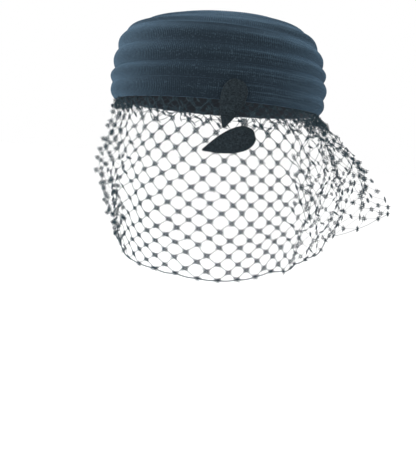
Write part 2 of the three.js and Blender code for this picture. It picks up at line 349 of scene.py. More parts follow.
def mask_highlight_streaks(tree, spot, across):
    """Long painted highlight streaks that differ by fold; they follow the place, so they have no seam.
    """
    run = add_node(tree, "ShaderNodeCombineXYZ")
    for axis in ("X", "Y"):
        tree.links.new(add_math(tree, "MULTIPLY", spot.outputs[axis], STREAK_ROUND), run.inputs[axis])
    level = add_math(tree, "MULTIPLY", spot.outputs["Z"], STREAK_LEVEL)
    tree.links.new(add_math(tree, "MULTIPLY_ADD", across, STREAK_ACROSS, level), run.inputs["Z"])
    noise = add_node(tree, "ShaderNodeTexNoise")
    noise.inputs["Scale"].default_value = 1
    noise.inputs["Detail"].default_value = 2
    tree.links.new(run.outputs[0], noise.inputs["Vector"])
    streaks = add_math(tree, "MULTIPLY_ADD", noise.outputs["Fac"], STREAK_GAIN, STREAK_CUT)
    # Painted highlight: faint at the -X side and strongest towards +X.
    lit_side = add_math(tree, "MULTIPLY_ADD", spot.outputs["X"], HIGHLIGHT_RISE, HIGHLIGHT_MIDDLE)
    lit_side = add_clamp(tree, lit_side, HIGHLIGHT_LEAST, 1.0)
    return add_math(tree, "MULTIPLY", add_clamp(tree, streaks, 0.0, 1.0), lit_side)


# %% Ribbed cloth: its colours, one over the other
CLOTH_DARK = (0.0036, 0.0065, 0.0096, 1)
CLOTH_LIGHT = (0.0095, 0.0155, 0.0212, 1)
CLOTH_SPECK = (0.04, 0.062, 0.08, 1)
# Painted highlight: the lighter navy of the streaks on the folds' crests.
CLOTH_HIGHLIGHT = (0.045, 0.072, 0.096, 1)
RIB_FURROW = (0.006, 0.011, 0.017, 1)
FOLD_CREASE = (0.008, 0.013, 0.019, 1)
LINT_COLOUR = (0.3, 0.33, 0.36, 1)
SPECK_CUT = 0.63
SPECK_SHARE = 0.5
LINT_SHARE = 0.4
# How much of the painted highlight, and of the cloth's own colour, a rib's top has over its furrow.
HIGHLIGHT_ON_RIB = 0.85
COLOUR_ON_RIB = 0.34


def build_ribbed_cloth():
    """Navy ribbed cloth, faint painted highlight streaks on the fold's crest, dull in its creases."""
    material, tree, shader = new_material(
        "ribbed_cloth_finish",
        roughness=0.85,
        sheen=0.34,
        sheen_roughness=0.5,
        sheen_tint=(0.33, 0.6, 0.88, 1),
        specular=0.08,
    )
    place = add_node(tree, "ShaderNodeTexCoord")
    uv = add_node(tree, "ShaderNodeSeparateXYZ")
    tree.links.new(place.outputs["UV"], uv.inputs[0])
    spot = add_node(tree, "ShaderNodeSeparateXYZ")
    tree.links.new(place.outputs["Object"], spot.inputs[0])
    grain = place_group(
        tree, fine_grain, place.outputs["Object"], Patch_Scale=38.0, Speck_Scale=1150.0
    )
    across = uv.outputs["Y"]
    turn = add_math(tree, "MULTIPLY", uv.outputs["X"], 2 * math.pi)
    rib = add_math(tree, "MULTIPLY_ADD", add_math(tree, "COSINE", turn), -0.5, 0.5)

    patches = add_mix(tree, grain.outputs["Patches"], CLOTH_DARK, CLOTH_LIGHT)
    specks = add_math(tree, "GREATER_THAN", grain.outputs["Specks"], SPECK_CUT)
    speck_share = add_math(tree, "MULTIPLY", specks, SPECK_SHARE)
    speckled = add_mix(tree, speck_share, patches, CLOTH_SPECK)
    # Painted highlight: lighter streaks along each crest, mostly on the ribs' tops, strongest at +X.
    highlight = add_math(tree, "MULTIPLY", mask_crest(tree, across), mask_highlight_streaks(tree, spot, across))
    lit_rib = add_math(tree, "MULTIPLY_ADD", rib, HIGHLIGHT_ON_RIB, 1 - HIGHLIGHT_ON_RIB)
    highlighted = add_mix(tree, add_math(tree, "MULTIPLY", highlight, lit_rib), speckled, CLOTH_HIGHLIGHT)
    rib_share = add_math(tree, "MULTIPLY_ADD", rib, COLOUR_ON_RIB, 1 - COLOUR_ON_RIB)
    ribbed = add_mix(tree, rib_share, RIB_FURROW, highlighted)
    creased = add_mix(tree, mask_open_face(tree, across), FOLD_CREASE, ribbed)
    lint_share = add_math(tree, "MULTIPLY", grain.outputs["Lint"], LINT_SHARE)
    linted = add_mix(tree, lint_share, creased, LINT_COLOUR)
    tree.links.new(linted, shader.inputs["Base Color"])

    threads = place_group(tree, crossing_threads, place.outputs["UV"], Across=2.0, Along=16.0)
    fuzz = add_math(tree, "MULTIPLY", grain.outputs["Specks"], 0.6)
    height = add_math(tree, "ADD", threads.outputs["Height"], fuzz)
    relief = add_bump(tree, height, distance=0.00016, strength=0.8)
    tree.links.new(relief, shader.inputs["Normal"])
    return material


ribbed_cloth = build_ribbed_cloth()
print("finish", ribbed_cloth.name)

# %% [markdown]
# The other finishes are plainer. The cap is stiffened woven cloth, matt, seen only from below. The
# net is dull twisted thread, whose twist follows the UV map of each thread. Velvet is nearly black
# and takes its look from its pile: a soft neutral sheen at a slant, and a grain that is brushed.


# %% Stiff cap, net thread and velvet
CAP_DARK = (0.022, 0.028, 0.036, 1)
CAP_LIGHT = (0.046, 0.056, 0.068, 1)
CAP_GAPS = (0.012, 0.015, 0.02, 1)
THREAD_DARK = (0.0085, 0.015, 0.021, 1)
THREAD_LIGHT = (0.021, 0.034, 0.044, 1)
TWIST_SLANT = 1.1
PILE_DARK = (0.0035, 0.0053, 0.0066, 1)
PILE_LIGHT = (0.0105, 0.0148, 0.0182, 1)
PILE_TIPS = (0.029, 0.041, 0.049, 1)


def build_stiff_cap():
    """Stiffened dark cloth with an open weave."""
    material, tree, shader = new_material(
        "stiff_cap_finish",
        roughness=0.9,
        sheen=0.15,
        sheen_roughness=0.5,
        sheen_tint=(0.7, 0.78, 0.9, 1),
        specular=0.2,
    )
    place = add_node(tree, "ShaderNodeTexCoord")
    threads = place_group(tree, crossing_threads, place.outputs["UV"], Across=1.0, Along=1.0)
    grain = place_group(
        tree, fine_grain, place.outputs["Object"], Patch_Scale=45.0, Speck_Scale=900.0
    )
    patches = add_mix(tree, grain.outputs["Patches"], CAP_DARK, CAP_LIGHT)
    woven = add_mix(tree, threads.outputs["Height"], CAP_GAPS, patches)
    tree.links.new(woven, shader.inputs["Base Color"])
    relief = add_bump(tree, threads.outputs["Height"], distance=0.0002, strength=0.8)
    tree.links.new(relief, shader.inputs["Normal"])
    return material


def build_net_thread():
    """Dull black thread with a twist."""
    material, tree, shader = new_material(
        "net_thread_finish",
        roughness=0.85,
        sheen=0.2,
        sheen_roughness=0.5,
        sheen_tint=(0.45, 0.75, 0.9, 1),
        specular=0.12,
    )
    place = add_node(tree, "ShaderNodeTexCoord")
    uv = add_node(tree, "ShaderNodeSeparateXYZ")
    tree.links.new(place.outputs["UV"], uv.inputs[0])
    slant = add_math(tree, "MULTIPLY_ADD", uv.outputs["X"], TWIST_SLANT, uv.outputs["Y"])
    twist = add_math(tree, "SINE", add_math(tree, "MULTIPLY", slant, 2 * math.pi))
    grain = place_group(
        tree, fine_grain, place.outputs["Object"], Patch_Scale=60.0, Speck_Scale=1800.0
    )
    thread_colour = add_mix(tree, grain.outputs["Patches"], THREAD_DARK, THREAD_LIGHT)
    tree.links.new(thread_colour, shader.inputs["Base Color"])
    height = add_math(tree, "ADD", twist, grain.outputs["Specks"])
    relief = add_bump(tree, height, distance=0.0001, strength=0.7)
    tree.links.new(relief, shader.inputs["Normal"])
    return material


def build_velvet():
    """Black velvet with a brushed pile."""
    material, tree, shader = new_material(
        "velvet_finish",
        roughness=0.95,
        sheen=0.12,
        sheen_roughness=0.3,
        sheen_tint=(0.8, 0.92, 1, 1),
        specular=0.05,
    )
    place = add_node(tree, "ShaderNodeTexCoord")
    brushed = add_node(tree, "ShaderNodeMapping")
    brushed.inputs["Scale"].default_value = (0.7, 1, 1)
    tree.links.new(place.outputs["Object"], brushed.inputs["Vector"])
    grain = place_group(
        tree, fine_grain, brushed.outputs[0], Patch_Scale=160.0, Speck_Scale=1300.0
    )
    pile = add_mix(tree, grain.outputs["Patches"], PILE_DARK, PILE_LIGHT)
    tip_share = add_math(tree, "MULTIPLY_ADD", grain.outputs["Specks"], 1.4, -0.4)
    tips = add_mix(tree, add_clamp(tree, tip_share, 0.0, 0.7), pile, PILE_TIPS)
    tree.links.new(tips, shader.inputs["Base Color"])
    relief = add_bump(tree, grain.outputs["Specks"], distance=0.0003, strength=0.9)
    tree.links.new(relief, shader.inputs["Normal"])
    return material


stiff_cap = build_stiff_cap()
net_thread = build_net_thread()
velvet = build_velvet()
print("finishes", stiff_cap.name, net_thread.name, velvet.name)


# %% Floor finish
FLOOR_DARK = (0.93, 0.93, 0.93, 1)
FLOOR_LIGHT = (0.97, 0.97, 0.97, 1)
WHITE = (1, 1, 1, 1)
FLOOR_GLOW = 0.12


def build_floor_finish():
    """Pale matt floor with a trace of unevenness."""
    material, tree, shader = new_material(
        "floor_finish",
        roughness=0.9,
        sheen=0,
        sheen_roughness=0.5,
        sheen_tint=WHITE,
        specular=0.2,
    )
    place = add_node(tree, "ShaderNodeTexCoord")
    grain = place_group(
        tree, fine_grain, place.outputs["Object"], Patch_Scale=0.8, Speck_Scale=40.0
    )
    pale = add_mix(tree, grain.outputs["Patches"], FLOOR_DARK, FLOOR_LIGHT)
    tree.links.new(pale, shader.inputs["Base Color"])
    shader.inputs["Emission Color"].default_value = WHITE
    shader.inputs["Emission Strength"].default_value = FLOOR_GLOW
    return material


floor.data.materials.append(build_floor_finish())
print("finish", floor.data.materials[0].name)

# %% [markdown]
# The folds are padded tubes of cloth laid round the cap. Each could be a swept profile, but the
# ribs need their own relief: at the edge of the hat they show as fine teeth against the light. So a
# fold is made as a grid: columns go round the crown, four to a rib, and rows go over the outside of
# the fold and back along the cap. The grid is closed both ways. Small slow waves, the same on both
# sides of each line, keep the folds from looking turned on a lathe.


# %% The crown's outline and the fold lines
def plan_at(turn):
    """Outward direction and radius of the crown's outline at each turn."""
    across = CROWN_WIDTH / 2 * np.sin(turn)
    forward = -CROWN_DEPTH / 2 * np.cos(turn)
    radius = np.hypot(across, forward)
    return across / radius, forward / radius, radius


def crown_points(turn, reach, height):
    """Points from their distance to the axis and height at each turn."""
    out_x, out_y, _ = plan_at(turn)
    level = np.broadcast_to(height, reach.shape)
    return np.stack([out_x * reach, out_y * reach, level], axis=-1)


def slow_wave(turn, seed, size):
    """A smooth closed wave round the crown, from a few seeded sines."""
    chance = random.Random(seed)
    total = np.zeros_like(turn)
    for count in (2, 3, 5, 7, 11):
        total += np.sin(count * turn + chance.uniform(0, 2 * math.pi)) / count**0.5
    return size * total / 2


def fold_lines(turn):
    """Distance to the axis and height of every fold line at each turn."""
    edge_radius = plan_at(turn)[2] - FOLD_BULGE
    edge_height = CROWN_HEIGHT - FOLD_BULGE
    reaches = [reach * edge_radius for _, _, reach, _, _ in FOLD_LINES]
    heights = [
        (height - tilt * np.sin(turn)) * edge_height for _, height, _, tilt, _ in FOLD_LINES
    ]
    reaches.append(np.full_like(turn, CENTRE_RADIUS))
    heights.append(np.full_like(turn, edge_height))
    return np.stack([np.stack(reaches, axis=-1), np.stack(heights, axis=-1)], axis=-1)


def line_normal(lines, index):
    """Outward normal of the profile at a fold line."""
    last = lines.shape[1] - 1
    if index == 0:
        return np.broadcast_to([1.0, 0.0], lines[:, 0].shape)
    if index == last:
        return np.broadcast_to([0.0, 1.0], lines[:, 0].shape)
    along = lines[:, index + 1] - lines[:, index - 1]
    along = along / np.linalg.norm(along, axis=-1, keepdims=True)
    return np.stack([along[:, 1], -along[:, 0]], axis=-1)


def line_run(lines, index):
    """Direction in which the profile runs on over a fold line."""
    normal = line_normal(lines, index)
    return np.stack([-normal[:, 1], normal[:, 0]], axis=-1)


hat_quarters = fold_lines(np.array([0, 0.5, 1, 1.5]) * math.pi)
print("fold lines", hat_quarters.shape[1], "top at", hat_quarters[:, -1, 1].round(4))


# %% A closed grid as a mesh
def add_piece(name, points, faces, corner_uvs, material):
    """A mesh object from points and faces, with one UV for each corner."""
    mesh = bpy.data.meshes.new(name)
    mesh.from_pydata(points.tolist(), [], faces)
    layer = mesh.uv_layers.new(name="UVMap")
    layer.data.foreach_set("uv", np.asarray(corner_uvs, dtype=np.float32).ravel())
    mesh.materials.append(material)
    mesh.shade_smooth()
    piece = bpy.data.objects.new(name, mesh)
    bpy.context.scene.collection.objects.link(piece)
    return piece


def grid_faces(rings, size, closed=False):
    """Quads between rings of points, with the ring and the place of each corner.

    Each ring is closed; the last ring is joined to the first if the grid is closed too.
    """
    spans = rings if closed else rings - 1
    ring, place = np.meshgrid(np.arange(spans), np.arange(size), indexing="ij")
    ring = ring.ravel()
    place = place.ravel()
    corner_rings = np.stack([ring, ring + 1, ring + 1, ring], axis=1)
    corner_places = np.stack([place, place, place + 1, place + 1], axis=1)
    faces = (corner_rings % rings) * size + corner_places % size
    return faces.tolist(), corner_rings, corner_places


# %% The padded folds
RIB_PITCH = 1.35 * MM
RIB_HEIGHT = 0.26 * MM
TOP_RIB_HEIGHT = 0.5 * MM
RIB_SAMPLES = 4
# A rib's top is this round, and its furrow lies this much of its height below the cloth.
RIB_ROUNDNESS = 0.7
FURROW_DEPTH = 0.8
OUTSIDE_STEPS = 12
LINE_WAVE = 0.45 * MM
SWELL_WAVE = 0.09
# In front the folds are pulled flatter, and their creases softer: how much for the folds at the side
# and for those on top, and how far round in radians.
FRONT_CALM = 0.62
TOP_CALM = 0.5
SIDE_FOLDS = 5
CALM_REACH = 0.85
CREASE_SOFTNESS = 1.1
CREASE_GAP = 0.06 * MM
# Edges that turn more than this are shaded sharp, or light would bleed round the creases.
SHARP_ANGLE = math.radians(65)


def rib_relief(columns):
    """Height of the ribs at each column, as a share of a rib's height."""
    rib = np.abs(np.sin(math.pi * np.arange(columns) / RIB_SAMPLES))
    return rib**RIB_ROUNDNESS - FURROW_DEPTH


def fold_section(index, turn):
    """Distance and height of the points across a fold at each turn: its outside, then its back."""
    swell = FOLD_LINES[index][4]
    lines = fold_lines(turn)
    lower = lines[:, index]
    upper = lines[:, index + 1]
    along = upper - lower
    along = along / np.linalg.norm(along, axis=-1, keepdims=True)
    outward = np.stack([along[:, 1], -along[:, 0]], axis=-1)

    # The outside runs between the two lines, which wave a little, except at the rim.
    low_wave = slow_wave(turn, 40 + index, LINE_WAVE if index else 0)
    high_wave = slow_wave(turn, 41 + index, LINE_WAVE)
    front_lower = lower + line_run(lines, index) * low_wave[:, None]
    front_upper = upper + line_run(lines, index + 1) * high_wave[:, None] - along * CREASE_GAP

    # It stands out less in front, where its profile also rises more softly from the creases.
    fullness = FOLD_BULGE * swell * (1 + slow_wave(turn, 70 + index, SWELL_WAVE) - SWELL_WAVE)
    from_front = np.abs(turn - 2 * math.pi)
    frontal = np.exp(-((from_front / CALM_REACH) ** 2))
    calm = FRONT_CALM if index < SIDE_FOLDS else TOP_CALM
    fullness = fullness * (1 - calm * frontal)
    rib_height = RIB_HEIGHT if index < SIDE_FOLDS - 1 else TOP_RIB_HEIGHT
    rib = rib_height * rib_relief(len(turn))
    share = np.linspace(0, 1, OUTSIDE_STEPS + 1)
    half_wave = np.sin(math.pi * share).clip(0)
    half_wave[-1] = 0
    arc = half_wave ** (FOLD_SQUARENESS + CREASE_SOFTNESS * frontal)[:, None]
    rise = fullness[:, None] * arc + rib[:, None] * np.sqrt(half_wave)
    outside = front_lower[:, None] * (1 - share[None, :, None])
    outside = outside + front_upper[:, None] * share[None, :, None]
    outside = outside + outward[:, None] * rise[..., None]

    # The back is two points inside the lines, a small gap clear of the next fold's.
    back_upper = upper + (-SEAT_GAP / 2) * along - FOLD_BACK * line_normal(lines, index + 1)
    back_lower = lower + (SEAT_GAP / 2 if index else 0) * along
    back_lower = back_lower - FOLD_BACK * line_normal(lines, index)
    return np.concatenate([outside, back_upper[:, None], back_lower[:, None]], axis=1)


def build_fold(index):
    """One padded fold between two lines, with its ribs. Its seam of UVs is at the back."""
    name = FOLD_LINES[index][0]
    probe = fold_lines(np.linspace(0, 2 * math.pi, 90))
    mean_radius = probe[:, index : index + 2, 0].mean()
    ribs = int(round(2 * math.pi * mean_radius / RIB_PITCH))
    columns = ribs * RIB_SAMPLES
    turn = math.pi + np.arange(columns) * (2 * math.pi / columns)
    section = fold_section(index, turn)
    turns = np.repeat(turn[:, None], section.shape[1], axis=1)
    points = crown_points(turns, section[..., 0], section[..., 1])
    faces, corner_columns, corner_rows = grid_faces(columns, section.shape[1], closed=True)
    across = np.minimum(corner_rows / OUTSIDE_STEPS, 1)
    uvs = np.stack([corner_columns / RIB_SAMPLES, across], axis=-1)
    piece = add_piece(name + "_cloth", points.reshape(-1, 3), faces, uvs, ribbed_cloth)
    piece.data.set_sharp_from_angle(angle=SHARP_ANGLE)
    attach(piece, "root")
    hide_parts(name)
    return piece, ribs


fold_pieces = []
for fold_index in range(len(FOLD_LINES)):
    fold_piece, rib_total = build_fold(fold_index)
    fold_pieces.append(fold_piece)
    print(fold_piece.name, "ribs", rib_total, "faces", len(fold_piece.data.polygons))

# %% [markdown]
# The folds end in the middle of the top in a small round button of the same cloth, drawn together
# to a point. Its rings shrink to a pole, where they close in triangles, and its ribs grow shallow
# towards that point.

# %% The gathered centre
CENTRE_RIBS = 26
CENTRE_RINGS = 9
# Heights of its dome and of its gathered point, as shares of a fold's bulge.
CENTRE_DOME = 0.62
CENTRE_POINT = 0.56
# V stays below this, the middle of a fold, because the centre has no crease but its edge.
CENTRE_V = 0.5
POINT_V = 0.45


def build_centre():
    """The small gathered dome in the middle of the top."""
    columns = CENTRE_RIBS * RIB_SAMPLES
    turn = np.arange(columns) * (2 * math.pi / columns)
    edge_height = CROWN_HEIGHT - FOLD_BULGE
    radius = CENTRE_RADIUS - SEAT_GAP / 2
    rib = RIB_HEIGHT * rib_relief(columns)
    rings = [crown_points(turn, np.full(columns, radius), edge_height - FOLD_BACK)]
    for ring in range(CENTRE_RINGS):
        angle = ring / CENTRE_RINGS * math.pi / 2
        reach = np.full(columns, radius * math.cos(angle))
        rise = FOLD_BULGE * CENTRE_DOME * math.sin(angle) + rib * math.sin(2 * angle)
        rings.append(crown_points(turn, reach, edge_height + rise))
    top = [0, 0, edge_height + FOLD_BULGE * CENTRE_POINT]
    bottom = [0, 0, edge_height - FOLD_BACK]
    points = np.concatenate([*rings, [top, bottom]])
    faces, corner_rings, corner_places = grid_faces(len(rings), columns)
    across = CENTRE_V * np.maximum(corner_rings - 1, 0) / CENTRE_RINGS
    quad_uvs = np.stack([corner_places / RIB_SAMPLES, across], axis=-1)
    top_index = len(points) - 2
    last = top_index - columns
    end_uvs = []
    for column in range(columns):
        after = (column + 1) % columns
        faces.append([last + column, last + after, top_index])
        faces.append([after, column, top_index + 1])
        near = column / RIB_SAMPLES
        far = (column + 1) / RIB_SAMPLES
        end_uvs += [(near, POINT_V), (far, POINT_V), (near, CENTRE_V)]
        end_uvs += [(far, 0), (near, 0), (near, 0)]
    uvs = np.concatenate([quad_uvs.reshape(-1, 2), end_uvs])
    piece = add_piece("top_centre_cloth", points, faces, uvs, ribbed_cloth)
    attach(piece, "root")
    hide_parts("top_centre")
    return piece


centre_piece = build_centre()
print(centre_piece.name, "faces", len(centre_piece.data.polygons))

# %% [markdown]
# The cap is the stiff hollow that carries everything. It is made as by hand: a circle is stretched
# to the oval of the rim, then drawn up ring by ring, each ring scaled and tipped to the line of the
# folds outside it, and gathered to a point on top. Solidify then gives the sheet its wall.

# %% The stiff cap
CAP_SIDES = 128
CAP_CLEARANCE = 0.2 * MM
CAP_WEAVE = 1.6 * MM
CAP_SMOOTH_ANGLE = math.radians(40)


def cap_rings():
    """Half width, half depth, height and tip of each ring, inside the backs of the folds."""
    depth = FOLD_BACK + SEAT_GAP + CAP_CLEARANCE
    front = fold_lines(np.array([0.0]))
    side = fold_lines(np.array([math.pi / 2]))
    rings = []
    for index in range(front.shape[1]):
        inward = depth * line_normal(front, index)[0]
        half_depth = front[0, index, 0] - inward[0]
        half_width = side[0, index, 0] - inward[0]
        height = front[0, index, 1] - inward[1]
        fall = front[0, index, 1] - side[0, index, 1]
        rings.append((half_width, half_depth, height, math.atan2(fall, half_width)))
    return rings


rings = cap_rings()
bpy.ops.object.select_all(action="DESELECT")
bpy.ops.mesh.primitive_circle_add(vertices=CAP_SIDES, radius=1, location=(0, 0, 0))
cap = bpy.context.object
cap.name = "cap_shell"
bpy.ops.object.mode_set(mode="EDIT")
bpy.ops.mesh.select_all(action="SELECT")
bpy.ops.transform.resize(value=(rings[0][0], rings[0][1], 1), center_override=(0, 0, 0))
for below, above in zip(rings, rings[1:]):
    centre = (0, 0, above[2])
    bpy.ops.mesh.extrude_region_move(
        TRANSFORM_OT_translate={"value": (0, 0, above[2] - below[2])}
    )
    bpy.ops.transform.resize(
        value=(above[0] / below[0], above[1] / below[1], 1), center_override=centre
    )
    # Run without a window, this operator turns the other way.
    bpy.ops.transform.rotate(
        value=below[3] - above[3], orient_axis="Y", center_override=centre
    )
bpy.ops.mesh.extrude_region_move(TRANSFORM_OT_translate={"value": (0, 0, 0)})
bpy.ops.mesh.merge(type="CENTER")
bpy.ops.mesh.select_all(action="SELECT")
bpy.ops.mesh.normals_make_consistent(inside=False)
bpy.ops.uv.cube_project(cube_size=CAP_WEAVE)
bpy.ops.object.mode_set(mode="OBJECT")
wall = cap.modifiers.new("wall", "SOLIDIFY")
wall.thickness = CAP_WALL
wall.offset = -1
bpy.ops.object.modifier_apply(modifier="wall")
bpy.ops.object.shade_smooth_by_angle(angle=CAP_SMOOTH_ANGLE)
cap.data.materials.append(stiff_cap)
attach(cap, "root")
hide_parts("crown")
cap_points = np.array([v.co for v in cap.data.vertices])
print("cap", cap_points.min(axis=0).round(4), cap_points.max(axis=0).round(4))

# %% [markdown]
# The net is a strip of knotted thread, gathered under the rim and hanging free below. A cloth
# simulation would have to carry every thread, so the strip is shaped in code instead: its surface
# passes through the same stations as the solid net, and pleats are laid in where it is bunched,
# at both sides. On that surface the threads run in two slanting families, knotted where they cross.

# %% The net's surface
VEIL_DROP = 104 * MM
VEIL_BELLY = 10 * MM
NET_SEAT = 0.6 * MM
GATHER_DEPTH = 7 * MM
GATHER_ONSET = 0.33
GATHER_FADE = 1.5
NET_FLARE = 0.9

# Along the strip, sewn and hem turns in degrees, reach, fall and belly, as on the solid net.
VEIL_STATIONS = np.array(
    [
        (0, -110, -108, 0.88, 0.9, 0.6),
        (0.08, -92, -90, 0.89, 0.92, 0.8),
        (0.19, -62, -58, 0.9, 0.96, 0.8),
        (0.29, -38, -36, 1.04, 0.98, 0.8),
        (0.4, -12, -10, 1.22, 1.02, 0.6),
        (0.5, 12, 12, 1.22, 1.01, 0.6),
        (0.6, 36, 30, 1.2, 0.96, 0.8),
        (0.71, 62, 46, 1.2, 0.9, 1.1),
        (0.83, 90, 66, 1.3, 0.76, 1.5),
        (1, 114, 86, 1.7, 0.67, 1.5),
    ]
)
# Where the net is bunched at the rim: place along the strip, width and depth.
VEIL_GATHERS = [
    (0.09, 0.022, 0.6),
    (0.17, 0.02, 0.7),
    (0.26, 0.02, 0.4),
    (0.66, 0.02, 0.6),
    (0.74, 0.02, 0.9),
    (0.82, 0.022, 1),
    (0.9, 0.022, 1),
]


def stations_at(along):
    """The station values at shares of the strip's length, on a smooth curve."""
    places = VEIL_STATIONS[:, 0]
    last = len(places) - 1
    after = np.clip(np.searchsorted(places, along, side="left"), 1, last)
    rows = [VEIL_STATIONS[np.clip(after + step, 0, last)] for step in (-2, -1, 0, 1)]
    before, start, end, beyond = rows
    width = (end[:, 0] - start[:, 0])[:, None]
    share = ((along - start[:, 0]) / (end[:, 0] - start[:, 0]))[:, None]
    slope_start = (end - before) / (end[:, :1] - before[:, :1]) * width
    slope_end = (beyond - start) / (beyond[:, :1] - start[:, :1]) * width
    return (
        start * (2 * share**3 - 3 * share**2 + 1)
        + slope_start * (share**3 - 2 * share**2 + share)
        + end * (3 * share**2 - 2 * share**3)
        + slope_end * (share**3 - share**2)
    )


def net_surface(along, down):
    """Points of the hanging net and its outward directions, at shares along and down."""
    station = stations_at(along)
    sewn = np.radians(station[:, 1])
    hem = np.radians(station[:, 2])
    rim = fold_lines(sewn)[:, 0]
    top = crown_points(sewn, rim[:, 0] - FOLD_BACK / 2, rim[:, 1] - SEAT_GAP - NET_SEAT)
    hem_reach = plan_at(hem)[2] * station[:, 3]
    foot = crown_points(hem, hem_reach, -VEIL_DROP * station[:, 4])
    out_x, out_y, _ = plan_at(sewn + (hem - sewn) * down)
    out = np.stack([out_x, out_y, np.zeros_like(out_x)], axis=-1)
    gathered = np.zeros_like(along)
    for place, width, depth in VEIL_GATHERS:
        gathered += depth * np.exp(-(((along - place) / width) ** 2))
    onset = np.sin(math.pi / 2 * np.clip(down / GATHER_ONSET, 0, 1))
    clear = np.clip(1 - down, 0, 1)
    ridge = GATHER_DEPTH * gathered * onset * clear**GATHER_FADE
    swell = VEIL_BELLY * station[:, 5] * np.sin(math.pi * np.clip(down, 0, 1))
    share = np.clip(down, 0, None)[:, None] ** NET_FLARE
    return top + (foot - top) * share + out * (swell + ridge)[:, None], out


hem_line, _ = net_surface(np.linspace(0, 1, 41), np.ones(41))

# %% [markdown]
# A thread is a thin closed tube. Thousands are needed, so one helper makes tubes round many paths
# at once: a ring of points round every step of every path, joined into quads, and a face at each
# end. U runs along the thread in millimetres and V once round it, which gives the twist its slant.


# %% Many tubes at once
def tubes(paths, radii, sides, outward):
    """Points, faces and corner UVs of closed tubes round paths, shaped (paths, steps, 3)."""
    total, steps, _ = paths.shape
    tangent = np.gradient(paths, axis=1)
    tangent /= np.linalg.norm(tangent, axis=-1, keepdims=True)
    side = np.cross(tangent, outward)
    side /= np.linalg.norm(side, axis=-1, keepdims=True)
    lift = np.cross(side, tangent)
    angle = np.arange(sides) * (2 * math.pi / sides)
    ring = side[:, :, None] * np.cos(angle)[:, None] + lift[:, :, None] * np.sin(angle)[:, None]
    points = paths[:, :, None] + np.asarray(radii)[..., None, None] * ring
    length = np.linalg.norm(np.diff(paths, axis=1), axis=-1).cumsum(axis=1)
    length = np.concatenate([np.zeros((total, 1)), length], axis=1) / MM
    index = np.arange(total * steps * sides).reshape(total, steps, sides)
    ahead = np.roll(index, -1, axis=2)
    quads = np.stack([index[:, :-1], ahead[:, :-1], ahead[:, 1:], index[:, 1:]], axis=-1)
    around = np.arange(sides) / sides
    low = np.broadcast_to(length[:, :-1, None], quads.shape[:3])
    high = np.broadcast_to(length[:, 1:, None], quads.shape[:3])
    near = np.broadcast_to(around, quads.shape[:3])
    u = np.stack([low, low, high, high], axis=-1)
    v = np.stack([near, near + 1 / sides, near + 1 / sides, near], axis=-1)
    uvs = np.stack([u, v], axis=-1).reshape(-1, 2)
    starts = index[:, 0, ::-1].reshape(-1, sides)
    ends = index[:, -1].reshape(-1, sides)
    end_uvs = np.zeros((2 * total * sides, 2))
    faces = quads.reshape(-1, 4).tolist() + starts.tolist() + ends.tolist()
    return points.reshape(-1, 3), faces, np.concatenate([uvs, end_uvs])


def join_parts(parts):
    """One set of points, faces and UVs from several."""
    points = []
    faces = []
    uvs = []
    offset = 0
    for part_points, part_faces, part_uvs in parts:
        points.append(part_points)
        faces += [[i + offset for i in face] for face in part_faces]
        uvs.append(part_uvs)
        offset += len(part_points)
    return np.concatenate(points), faces, np.concatenate(uvs)


# %% [markdown]
# A lattice of knots is laid on the surface, in columns along the strip and rows down it. Real net is
# never even, so every knot is moved a little by chance, by the pleats and by a slow crumple. A depth
# moves it off the surface; a shift and a fall are shares of the strip's length and drop.

# %% The strip of net and its pleats
NET_ROWS = 10
# Columns up to each share of the strip: fewest at its two ends, most where it is bunched at +X.
COLUMN_MARKS = [0, 2.5, 6, 15.5, 24.5, 27]
ALONG_MARKS = [0, 0.17, 0.3, 0.62, 0.82, 1]
PLEAT_MARKS = [0, 0.07, 0.17, 0.33, 0.58, 0.7, 0.87, 1]
PLEAT_WEIGHTS = [0.6, 0.8, 0.7, 0.05, 0.05, 1, 1, 0.8]
# Pleats start at the rim within this share of the drop, and lose this share down to the hem.
PLEAT_ONSET = 0.12
PLEAT_FADE = 0.45
PLEAT_COLUMNS = 4.6
PLEAT_DRIFT = 1.6
PLEAT_SHIFT = 0.012
PLEAT_DEPTH = 3.5 * MM
# How far each pleat leans over, how uneven the pleats' widths are, and how they drift.
PLEAT_LEAN = 0.8
UNEVEN_PLEATS = 1.1
UNEVEN_TURN = 0.7
DRIFT_TURN = 0.45
DRIFT_START = 0.6
# The crumple: how many waves, their turns for each column and row, and what divides their sum.
CRUMPLE_WAVES = 6
CRUMPLE_RUN = (0.5, 1.7)
CRUMPLE_SLANT = (-1.3, 1.3)
CRUMPLE_LEVEL = 2.5
CRUMPLE_DEPTH = 4 * MM
CRUMPLE_SHIFT = 0.006
CRUMPLE_FALL = 0.025
CHANCE_SHIFT = 0.0008
CHANCE_FALL = 0.004
CHANCE_DEPTH = 0.5 * MM
PLEATED_CHANCE_DEPTH = 0.4 * MM
# Depth by chance starts from nothing at the rim and is whole an eighth of the drop further down.
CHANCE_RISE = 8
HEM_WAVE_FALL = 0.012
HEM_WAVE_DEPTH = 1.2 * MM
# Columns where the pleats stand crosswise, so that the knots are turned to match. There the net
# also puffs out: fully at the -X end, less at the free corner.
CROSSWISE_MARKS = [0, 2, 4.5, 23, 25, 27]
CROSSWISE_SHARES = [1, 0.9, 0, 0, 0.9, 1]
PUFFED_COLUMNS = 5
CORNER_PUFF = 0.55
PUFF_DEPTH = 5.5 * MM
PUFF_LIFT = 1.5 * MM
PUFF_FULLNESS = 0.7
# How much finer than the crumple the puff is, along the columns and down the rows.
PUFF_GRAIN = (2.2, 1.1)
# The hem is drawn up in the middle of the free corner.
TAIL_RISE = 0.06
TAIL_MIDDLE = 0.91
TAIL_WIDTH = 0.05
# How much of the pleats' weight counts as gathering, which draws in the threads and knots.
GATHER_SHARE = 1.35


def pleat_weight(along):
    """How strongly the net is pleated at a share of the strip's length, from 0 to 1."""
    return np.interp(along, PLEAT_MARKS, PLEAT_WEIGHTS)


